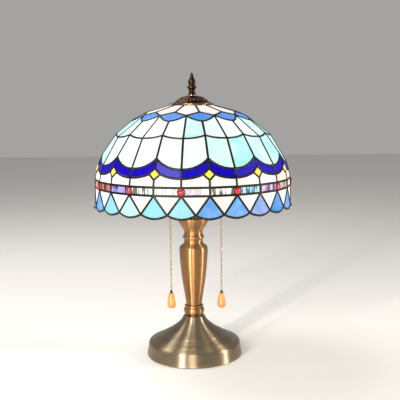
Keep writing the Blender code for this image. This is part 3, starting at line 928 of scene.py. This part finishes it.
class LAMP_OT_glass(bpy.types.Operator):
    """Cuts and places every pane of sheet glass in the shade"""

    bl_idname = "lamp.glass"
    bl_label = "Shade Glass"

    def execute(self, context):
        build_panes("crown_panes", "crown", "Top Row Opal", "crown_glass_row")
        build_panes("lens_panes", "lens", "Lens Opal", "crown_glass_row")
        build_panes("upper_panes", "upper", "Panel Opal", "upper_panel_row")
        build_panes("lower_panes", "lower", "Panel Opal", "lower_panel_row")
        build_panes("cobalt_panes", "cobalt", "Cobalt Cathedral", "cobalt_scallop_row")
        build_panes("frieze_panes", "frieze", "Cream Opal", "cream_panel_row")
        build_panes("ripple_bars", "bar", "Rippled Glass", "ripple_bar_row")
        build_panes("white_triangles", "triangle", "Cream Opal", "fan_fringe_row")
        build_panes("fan_panes", "fan", "Fan Opal", "fan_fringe_row")
        return {"FINISHED"}


class LAMP_OT_diamonds(bpy.types.Operator):
    """Sets a faceted amber diamond at the point of every scallop"""

    bl_idname = "lamp.diamonds"
    bl_label = "Amber Diamonds"

    def execute(self, context):
        smallest_front = 5e-5
        bm = bmesh.new()
        faces = [pane_face(bm, place, outline) for place, outline in pane_outlines()["diamond"]]
        cut_slabs(bm, faces, under_lead=0.0006)
        bm.normal_update()
        fronts = []
        for face in bm.faces:
            if len(face.verts) == 4 and face.calc_area() > smallest_front:
                outwards = Vector((*face.calc_center_median().xy, 0))
                if face.normal.dot(outwards) > 0:
                    fronts.append(face)
        bmesh.ops.inset_individual(bm, faces=fronts, thickness=0.0035, depth=0.0022, use_even_offset=True)
        make_solid("amber_diamonds", bm, "Amber Facets", "shade", sharp=8.0)
        return {"FINISHED"}


class LAMP_OT_cabochons(bpy.types.Operator):
    """Sets a round ruby cabochon in its collar at the middle of every scallop"""

    bl_idname = "lamp.cabochons"
    bl_label = "Ruby Cabochons"

    def execute(self, context):
        dome = [(0, 0.0034), (0.0022, 0.0032), (0.0041, 0.0025), (0.0055, 0.0014), (0.0062, 0.0)]
        dome += [(0, -0.0010)]
        ring = bead(0.0066, 0.0003, 0.0011, 0, 315, 7)
        gems, collars = bmesh.new(), bmesh.new()
        for period in range(shade_sizes().periods):
            centre = shade_point(2 * period, (BAND_TOP + BAND_FOOT) / 2)
            radial = Vector((centre.x, centre.y, 0)).normalized()
            matrix = place_over(centre + radial * 0.0008, radial)
            spin_outline(gems, dome, 28, matrix)
            spin_outline(collars, ring, 32, matrix)
        make_solid("ruby_cabochons", gems, "Ruby Glass", "shade", sharp=60.0)
        make_solid("cabochon_collars", collars, "Patinated Solder", "shade", sharp=None)
        return {"FINISHED"}


RISE_AT_RIM = 0.0006
# Share of a lead line's half width, and the height of its round there as a share of its crown.
ROUND_OF_LEAD = ((0.4, 0.84), (0.75, 0.48), (1.0, 0.10))


class LAMP_OT_lead(bpy.types.Operator):
    """Runs the rounded solder lines between the panes, inside and out, and the wire round the rim"""

    bl_idname = "lamp.lead"
    bl_label = "Lead Lines"

    def execute(self, context):
        s = shade_sizes()
        bm = bmesh.new()
        for panes in pane_outlines().values():
            for place, outline in panes:
                pane_face(bm, place, outline)
        bmesh.ops.remove_doubles(bm, verts=bm.verts, dist=10 * WELD)
        faces = list(bm.faces)
        outward(faces)
        rise = bm.verts.layers.float.new("rise")
        lumps = random.Random("solder")
        for vert in bm.verts:
            at_rim = any(edge.is_boundary for edge in vert.link_edges)
            vert[rise] = RISE_AT_RIM if at_rim else s.lead_rise * lumps.uniform(0.8, 1.0)
        reached = 0.0
        for share, height in ROUND_OF_LEAD:
            thickness = s.lead_width / 2 * (share - reached)
            bmesh.ops.inset_individual(bm, faces=faces, thickness=thickness, use_even_offset=True)
            reached = share
            for face in faces:
                for vert in face.verts:
                    vert[rise] = s.lead_rise * height
        bmesh.ops.delete(bm, geom=faces, context="FACES")
        bmesh.ops.solidify(bm, geom=list(bm.faces), thickness=s.glass)
        bm.normal_update()
        for vert in bm.verts:
            vert.co += vert.normal * vert[rise]
        make_solid("solder_lines", bm, "Patinated Solder", "shade", ["lead_lattice"], sharp=60.0)
        self.rim_wire()
        return {"FINISHED"}

    def rim_wire(self):
        """A wire soldered round the scalloped rim."""
        s = shade_sizes()
        steps = 10
        path = []
        for half in range(2 * s.periods):
            for step in range(steps):
                u = step / steps
                point = shade_point(half + u, fan_foot(u))
                inward = Vector((point.x, point.y, 0)).normalized() * (s.glass / 2)
                path.append(point - inward)
        bm = bmesh.new()
        ring_of_bar(bm, path, 0.0020, 8)
        make_solid("rim_wire", bm, "Patinated Solder", "shade", sharp=None)


def ring_of_bar(bm, path, radius, sides):
    """A round bar along a closed path, made of rings of vertices bridged one to the next."""
    rings = []
    for index, point in enumerate(path):
        run = path[(index + 1) % len(path)] - path[index - 1]
        ring = bmesh.ops.create_circle(
            bm, segments=sides, radius=radius, cap_ends=False, matrix=place_over(point, run.normalized())
        )
        rings.append(list({edge for vert in ring["verts"] for edge in vert.link_edges}))
    for first, second in zip(rings, rings[1:] + rings[:1]):
        bmesh.ops.bridge_loops(bm, edges=first + second)


# Metalwork. Outlines are (radius, height) points, from the outer foot or the bore up.

BORE = 0.0056


class LAMP_OT_base(bpy.types.Operator):
    """Turns the bell-shaped base and its felt pad"""

    bl_idname = "lamp.base"
    bl_label = "Base"

    def execute(self, context):
        foot = 0.0010
        outline = (
            [(0.0988, foot), (0.0982, 0.0060)]
            + flow((0.0968, 0.0140), (0.0956, 0.0225), (0.0948, 0.0262), (0.0930, 0.0286))
            + [(0.0842, 0.0328), (0.0839, 0.0326), (0.0836, 0.0331)]
            + [(0.0760, 0.0362), (0.0724, 0.0380), (0.0700, 0.0398), (0.0650, 0.0433)]
            + [(0.0640, 0.0438), (0.0636, 0.0434), (0.0630, 0.0438), (0.0626, 0.0447)]
            + flow((0.0600, 0.0462), (0.0480, 0.0535), (0.0380, 0.0610), (0.0300, 0.0683), (0.0250, 0.0745))
            + flow((0.0228, 0.0790), (0.0221, 0.0802), (0.0212, 0.0815), steps=2)
            + [(BORE, 0.0815), (BORE, 0.0795), (0.0200, 0.0795), (0.0232, 0.0728), (0.0365, 0.0588)]
            + [(0.0590, 0.0440), (0.0836, 0.0306), (0.0918, 0.0262), (0.0936, 0.0225), (0.0968, foot)]
        )
        turned("base_bell", outline, "Antique Bronze", "stand", ["base_shell"], sides=128)
        hole, rim, top = 0.0300, 0.0962, 0.0030
        pad = [(hole, 0.0), (0.0955, 0.0), (rim, 0.0008), (rim, 0.0024), (0.0955, top), (hole, top)]
        turned("felt_pad", pad, "Black Felt", "stand", ["base_pad"], edge=0)
        return {"FINISHED"}


class LAMP_OT_column(bpy.types.Operator):
    """Turns the lower collar, the tapered column, the beaded neck and the cup"""

    bl_idname = "lamp.column"
    bl_label = "Column"

    def execute(self, context):
        collar = (
            [(BORE, 0.0818), (0.0150, 0.0818), (0.0157, 0.0832), (0.0170, 0.0838)]
            + flow((0.0180, 0.0842), (0.0204, 0.0880), (0.0213, 0.0925), (0.0206, 0.0965), (0.0188, 0.0988))
            + [(0.0184, 0.0998)]
            + flow((0.0190, 0.1004), (0.0197, 0.1020), (0.0190, 0.1036), steps=3)
            + [(BORE, 0.1038)]
        )
        self.turn("column_collar", collar, "lower_collar")
        taper = [(0.0159, 0.1050), (0.0171, 0.1120), (0.0193, 0.1270), (0.0233, 0.1520), (0.0266, 0.1780)]
        taper += [(0.0287, 0.2030), (0.0295, 0.2160), (0.0295, 0.2208)]
        shoulder = [(0.0294, 0.2236), (0.0289, 0.2262), (0.0272, 0.2284), (0.0247, 0.2306)]
        shoulder += [(0.0222, 0.2318), (0.0204, 0.2345)]
        body = (
            [(BORE, 0.1041), (0.0156, 0.1041)]
            + flow(*taper)
            + [(0.0291, 0.2218), (0.0291, 0.2226)]
            + flow(*shoulder)
            + [(BORE, 0.2345), (BORE, 0.2320), (0.0180, 0.2310), (0.0258, 0.2260), (0.0272, 0.2170)]
            + [(0.0243, 0.1780), (0.0170, 0.1270), (0.0135, 0.1065), (BORE, 0.1065)]
        )
        self.turn("column_shaft", body, "column_body")
        neck = (
            [(BORE, 0.2348), (0.0196, 0.2348)]
            + flow((0.0196, 0.2360), (0.0194, 0.2395), (0.0197, 0.2430), steps=3)
            + [(0.0205, 0.2440)]
            + flow((0.0211, 0.2446), (0.0220, 0.2462), (0.0220, 0.2486), (0.0211, 0.2502), steps=3)
            + [(0.0203, 0.2508), (0.0200, 0.2520), (0.0192, 0.2535), (BORE, 0.2535)]
        )
        self.turn("neck_bead", neck, "neck_ring")
        flare = [(0.0190, 0.2560), (0.0194, 0.2605), (0.0229, 0.2665), (0.0272, 0.2730), (0.0306, 0.2795)]
        cup = (
            [(BORE, 0.2538), (0.0190, 0.2538)]
            + flow(*flare, (0.0326, 0.2862))
            + [(0.0328, 0.2870), (0.0313, 0.2870), (0.0290, 0.2798), (0.0255, 0.2732), (0.0180, 0.2620)]
            + [(BORE, 0.2600)]
        )
        self.turn("column_cup", cup, "top_cup")
        return {"FINISHED"}

    def turn(self, name, outline, node):
        turned(name, outline, "Antique Copper", "stand", [node])


class LAMP_OT_crown(bpy.types.Operator):
    """Turns the pierced cap and the finial"""

    bl_idname = "lamp.crown"
    bl_label = "Cap and Finial"

    def execute(self, context):
        self.cap()
        spire = [(0.0009, 0.5811), (0.0019, 0.5798), (0.0027, 0.5775), (0.0032, 0.5745), (0.0040, 0.5712)]
        ball = [(0.0070, 0.5660), (0.0075, 0.5625), (0.0070, 0.5592), (0.0060, 0.5572)]
        disc = [(0.0085, 0.5550), (0.0097, 0.5532), (0.0095, 0.5512), (0.0080, 0.5496), (0.0068, 0.5486)]
        outline = (
            [(0, 0.5813)]
            + flow(*spire, (0.0060, 0.5680))
            + flow(*ball, steps=4)
            + [(0.0060, 0.5566), (0.0067, 0.5560)]
            + flow(*disc, steps=4)
            + flow((0.0064, 0.5470), (0.0064, 0.5430), (0.0070, 0.5396), steps=4)
            + [(0.0086, 0.5384), (0.0090, 0.5376), (0.0090, 0.5368), (0.0053, 0.5368), (0.0053, 0.5455)]
            + [(0, 0.5470)]
        )
        turned("turned_finial", outline, "Dark Bronze", "finial_body", ["finial"], sides=64, edge=0.00015)
        return {"FINISHED"}

    def cap(self):
        """The cap's skin, spun, with slots cut through its band, and then given its wall."""
        steps, slot_pitch, slot_width = 144, 6, 3
        band = (0.0255, 0.0322)
        brim = [(0.0464, 0.5203), (0.0440, 0.5206), (0.0400, 0.5209), (0.0345, 0.5233), (0.0300, 0.5274)]
        collar = [(0.0210, 0.5329), (0.0155, 0.5343), (0.0100, 0.5351), (0.0058, 0.5353)]
        bm = bmesh.new()
        spin_outline(bm, flow(*brim, (0.0232, 0.5319)) + flow(*collar, steps=3), steps, closed=False)
        close_up(bm)
        outward(bm.faces)
        opened = []
        for face in bm.faces:
            centre = face.calc_center_median()
            turn = math.atan2(centre.y, centre.x) % math.tau * steps / math.tau
            if band[0] < centre.xy.length < band[1] and turn % slot_pitch < slot_width:
                opened.append(face)
        bmesh.ops.delete(bm, geom=opened, context="FACES")
        wall = ("SOLIDIFY", {"thickness": 0.0011, "offset": -1.0})
        make_piece("pierced_cap", bm, "Dark Bronze", "shade", ["vase_cap"], 40.0, [wall])


class LAMP_OT_sockets(bpy.types.Operator):
    """Turns the two sockets, their caps and their bulbs"""

    bl_idname = "lamp.sockets"
    bl_label = "Sockets and Bulbs"

    def execute(self, context):
        cap = (
            [(0.0036, 0.0333), (0.0080, 0.0333), *flow(*SOCKET_DOME, steps=4)]
            + [(0.0171, 0.0545), (0.0170, 0.0552), (0.0160, 0.0552), (0.0160, 0.0450), (0.0155, 0.0402)]
            + [(0.0128, 0.0362), (0.0036, 0.0343)]
        )
        shell = (
            [(0.0160, 0.0555), (0.0174, 0.0555)]
            + bead(0.0168, 0.0568, 0.0008)
            + [(0.0167, 0.0580), (0.0167, 0.0880)]
            + bead(0.0166, 0.0897, 0.0007)
            + [(0.0166, 0.0910), (0.0158, 0.0910), (0.0158, 0.0600)]
        )
        for label, side in zip(SIDES, (-1, 1)):
            matrix = socket_matrix(side)
            self.brass(f"cap_shell_{label}", cap, f"socket_cap_{label}", matrix)
            self.brass(f"lamp_socket_{label}", shell, f"socket_shell_{label}", matrix)
            self.bulb(label, matrix)
            self.outlet(label, side)
        return {"FINISHED"}

    def brass(self, name, outline, node, matrix):
        turned(name, outline, "Machined Brass", "stand", [node], sides=48, matrix=matrix)

    def bulb(self, label, matrix):
        """A frosted globe and its screw cap."""
        globe = 0.0275
        envelope = [(0, 0.0883), (0.0130, 0.0883)]
        envelope += flow((0.0131, 0.0890), (0.0135, 0.0950), (0.0165, 0.1080), (0.0228, 0.1215))
        envelope += bead(0, BULB_CENTRE, globe, -12, 84, 16)
        envelope.append((0, BULB_CENTRE + globe))
        name, body, node = f"frosted_bulb_{label}", f"bulb_{label}", f"bulb_glass_{label}"
        turned(name, envelope, "Frosted Bulb", body, [node], sides=48, matrix=matrix, edge=0)
        screw = [(0, 0.0600), (0.0045, 0.0600), (0.0052, 0.0612), (0.0060, 0.0625), (0.0118, 0.0650)]
        root, crest = 0.0122, 0.0131
        for thread in range(6):
            at = 0.0665 + 0.0034 * thread
            screw += [(root, at - 0.0009), (crest, at), (crest, at + 0.0006), (root, at + 0.0016)]
        screw += [(0.0130, 0.0872), (0.0130, 0.0880), (0, 0.0880)]
        name, node = f"bulb_cap_{label}", f"bulb_base_{label}"
        turned(name, screw, "Zinc Steel", body, [node], sides=48, matrix=matrix, edge=0)

    def outlet(self, label, side):
        """The bell-mouthed guide that a chain comes out of, with its arm to the socket."""
        bm = bmesh.new()
        mouth = -OUTLET_DROP
        flare = [(0.0036, mouth + 0.0042), (0.0038, mouth + 0.0022), (0.0044, mouth + 0.0008)]
        flare.append((0.0050, mouth))
        guide = [(0.0023, 0.0040), (0.0034, 0.0040), (0.0036, 0.0032)] + flow(*flare, steps=4)
        guide += [(0.0042, mouth), (0.0030, mouth + 0.0016), (0.0023, mouth + 0.0036)]
        spin_outline(bm, guide, 32, Matrix.Translation(chain_place(side)))
        turn = metal_sizes().cluster_turn
        to_socket = Vector((-math.sin(turn), math.cos(turn), 0))
        start, radius = 0.0028, 0.0024
        run = CHAIN_REACH - SOCKET_SIDE - start
        arm = place_over(chain_place(side) + to_socket * start, to_socket)
        spin_outline(bm, [(0, 0), (radius, 0), (radius, run), (0, run)], 24, arm)
        make_solid(f"chain_guide_{label}", bm, "Machined Brass", "stand", [f"chain_outlet_{label}"])


BELL_HEIGHT = 0.0062


class LAMP_OT_chains(bpy.types.Operator):
    """Strings the two ball chains, with a bell and a turned knob on each"""

    bl_idname = "lamp.chains"
    bl_label = "Pull Chains"

    def execute(self, context):
        for label, side in zip(SIDES, (-1, 1)):
            place = chain_place(side)
            low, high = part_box(f"pull_chain_{label}")
            spot = Vector((place.x, place.y, 0))
            bell = self.bell(label, spot, low.z)
            run = high.z - low.z - BELL_HEIGHT
            chain = self.beads(label, spot, high.z, run)
            knob = self.knob(label, spot)
        return {"FINISHED"}

    def bell(self, label, spot, foot):
        """The small bell that grips a chain's last bead."""
        outline = [(0, foot + BELL_HEIGHT), (0.0010, foot + 0.0060)]
        side = [(0.0019, foot + 0.0052), (0.0023, foot + 0.0038), (0.0024, foot + 0.0018), (0.0028, foot)]
        outline += flow(*side, steps=3) + [(0, foot)]
        name, body, at = f"chain_bell_{label}", f"pull_{label}", Matrix.Translation(spot)
        return turned(name, outline, "Dark Bronze", body, sides=32, matrix=at, edge=0.0001)

    def beads(self, label, spot, top, run):
        """A run of ball chain: beads on a thin wire."""
        m = metal_sizes()
        wire = 0.0004
        bm = bmesh.new()
        count = round(run / m.bead_pitch)
        pitch = run / count
        for index in range(count + 1):
            centre = spot + Vector((0, 0, top - pitch * index))
            if index:
                bmesh.ops.create_uvsphere(
                    bm, u_segments=14, v_segments=8, radius=m.bead / 2, matrix=Matrix.Translation(centre)
                )
            if index < count:
                neck = Matrix.Translation(centre - Vector((0, 0, pitch)))
                spin_outline(bm, [(0, 0), (wire, 0), (wire, pitch), (0, pitch)], 8, neck)
        node = f"pull_chain_{label}"
        return make_solid(f"ball_chain_{label}", bm, "Ball Chain", f"pull_{label}", [node], sharp=60.0)

    def knob(self, label, spot):
        """A turned drop that hangs under the bell."""
        node = f"pull_knob_{label}"
        low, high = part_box(node)
        height = high.z - low.z
        belly = [(0.0052, 0.0006), (0.0077, 0.0030), (0.0086, 0.0070), (0.0084, 0.0110), (0.0074, 0.0175)]
        neck = [(0.0062, height - 0.0056), (0.0057, height - 0.0026), (0.0050, height - 0.0008)]
        outline = [(0, 0), (0.0024, 0.0001), *flow(*belly, *neck, steps=4), (0.0040, height), (0, height)]
        at = Matrix.Translation(spot + Vector((0, 0, low.z)))
        name, body = f"turned_knob_{label}", f"pull_{label}"
        return turned(name, outline, "Lacquered Wood", body, [node], sides=40, matrix=at, edge=0)


class LAMP_OT_fittings(bpy.types.Operator):
    """Gives the frame's own small fittings their finish"""

    bl_idname = "lamp.fittings"
    bl_label = "Small Fittings"

    def execute(self, context):
        finishes = {
            "Machined Brass": ["threaded_rod", "cluster_nut", "seat_nut", "shade_seat", "crown_ring"]
            + ["finial_washer", *(f"socket_arm_{label}" for label in SIDES)],
            "Antique Copper": ["cluster_body"],
            "Zinc Steel": ["base_nut", "base_washer"] + [f"switch_drum_{label}" for label in SIDES],
            "Ball Chain": [f"{piece}_{label}" for piece in ("chain_top", "chain_link") for label in SIDES],
            "Cast Iron": ["ballast_weight"],
            "Black Rubber": ["cord_bushing"],
            "Porcelain": [f"socket_liner_{label}" for label in SIDES],
        }
        for finish, nodes in finishes.items():
            for node in nodes:
                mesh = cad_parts[node].data
                mesh.materials.clear()
                mesh.materials.append(material(finish))
        return {"FINISHED"}


class LAMP_OT_stage(bpy.types.Operator):
    """Sets the camera, a pale floor and soft studio light"""

    bl_idname = "lamp.stage"
    bl_label = "Stage"

    def execute(self, context):
        self.camera(context.scene)
        self.floor(context.scene)
        self.lights(context.scene)
        return {"FINISHED"}

    def camera(self, scene):
        """A short telephoto view from the front, looking slightly down."""
        lens = bpy.data.cameras.new("camera")
        lens.lens, lens.sensor_width = 64.9, 36.0
        camera = bpy.data.objects.new("camera", lens)
        pan, tilt, roll = (math.radians(degrees) for degrees in (-0.56, 82.52, -0.52))
        aim = Matrix.Rotation(pan, 4, "Z") @ Matrix.Rotation(tilt, 4, "X") @ Matrix.Rotation(roll, 4, "Z")
        camera.matrix_world = Matrix.Translation((0.0, -1.467, 0.516)) @ aim
        scene.collection.objects.link(camera)
        scene.camera = camera
        scene.view_settings.view_transform = "Standard"

    def floor(self, scene):
        """A wide pale floor just under the lamp."""
        bm = bmesh.new()
        bmesh.ops.create_grid(bm, x_segments=1, y_segments=1, size=6.0)
        mesh = bpy.data.meshes.new("floor")
        bm.to_mesh(mesh)
        bm.free()
        paper = bpy.data.materials.new("Pale Paper")
        paper.use_nodes = True
        shader = paper.node_tree.nodes["Principled BSDF"]
        set_values(shader, Base_Color=(0.80, 0.79, 0.77, 1.0), Roughness=0.8)
        mesh.materials.append(paper)
        floor = bpy.data.objects.new("floor", mesh)
        floor.location.z = -0.0005
        scene.collection.objects.link(floor)

    def lights(self, scene):
        """Even light all round, with tall strip lights that draw lines down the turned metal."""
        world = bpy.data.worlds.new("studio")
        world.use_nodes = True
        backdrop = world.node_tree.nodes["Background"]
        set_values(backdrop, Color=(0.74, 0.73, 0.71, 1.0), Strength=0.5)
        scene.world = world
        target = Vector((0, 0, 0.3))
        lights = [
            ("key", (-1.1, -1.9, 0.8), (0.11, 1.6), 56.0, (1.0, 0.96, 0.90)),
            ("fill", (2.0, -0.35, 0.7), (0.16, 1.4), 30.0, (1.0, 0.95, 0.90)),
            ("front", (-0.2, -2.3, 0.55), (0.55, 0.8), 24.0, (1.0, 0.95, 0.86)),
            ("top", (-0.9, 0.5, 1.9), (1.1, 1.1), 22.0, (1.0, 0.98, 0.95)),
        ]
        for name, place, size, power, tone in lights:
            data = bpy.data.lights.new(name, "AREA")
            data.shape = "RECTANGLE"
            (data.size, data.size_y), data.energy, data.color = size, power, tone
            light = bpy.data.objects.new(name, data)
            light.location = place
            light.rotation_euler = (target - Vector(place)).to_track_quat("-Z", "Y").to_euler()
            scene.collection.objects.link(light)


STEPS = (
    LAMP_OT_stage,
    LAMP_OT_chains,
    LAMP_OT_glass,
    LAMP_OT_diamonds,
    LAMP_OT_cabochons,
    LAMP_OT_lead,
    LAMP_OT_base,
    LAMP_OT_column,
    LAMP_OT_crown,
    LAMP_OT_sockets,
    LAMP_OT_fittings,
)


class LAMP_PT_panel(bpy.types.Panel):
    """Lists the lamp's settings and the steps that build it"""

    bl_idname = "LAMP_PT_panel"
    bl_label = "Leaded Glass Lamp"
    bl_space_type = "VIEW_3D"
    bl_region_type = "UI"
    bl_category = "Lamp"

    def draw(self, context):
        layout = self.layout
        for settings in (shade_sizes(), metal_sizes(), colours()):
            box = layout.box()
            for key in settings.__annotations__:
                box.prop(settings, key)
        for step in STEPS:
            layout.operator(step.bl_idname)


CLASSES = (LampShadeSizes, LampMetalSizes, LampColours, *STEPS, LAMP_PT_panel)


def register():
    for cls in CLASSES:
        bpy.utils.register_class(cls)
    bpy.types.Scene.lamp_shade_sizes = bpy.props.PointerProperty(type=LampShadeSizes)
    bpy.types.Scene.lamp_metal_sizes = bpy.props.PointerProperty(type=LampMetalSizes)
    bpy.types.Scene.lamp_colours = bpy.props.PointerProperty(type=LampColours)


def unregister():
    del bpy.types.Scene.lamp_colours
    del bpy.types.Scene.lamp_metal_sizes
    del bpy.types.Scene.lamp_shade_sizes
    for cls in reversed(CLASSES):
        bpy.utils.unregister_class(cls)


def main():
    register()
    for step in STEPS:
        group, action = step.bl_idname.split(".")
        getattr(getattr(bpy.ops, group), action)()


if __name__ == "__main__":
    main()
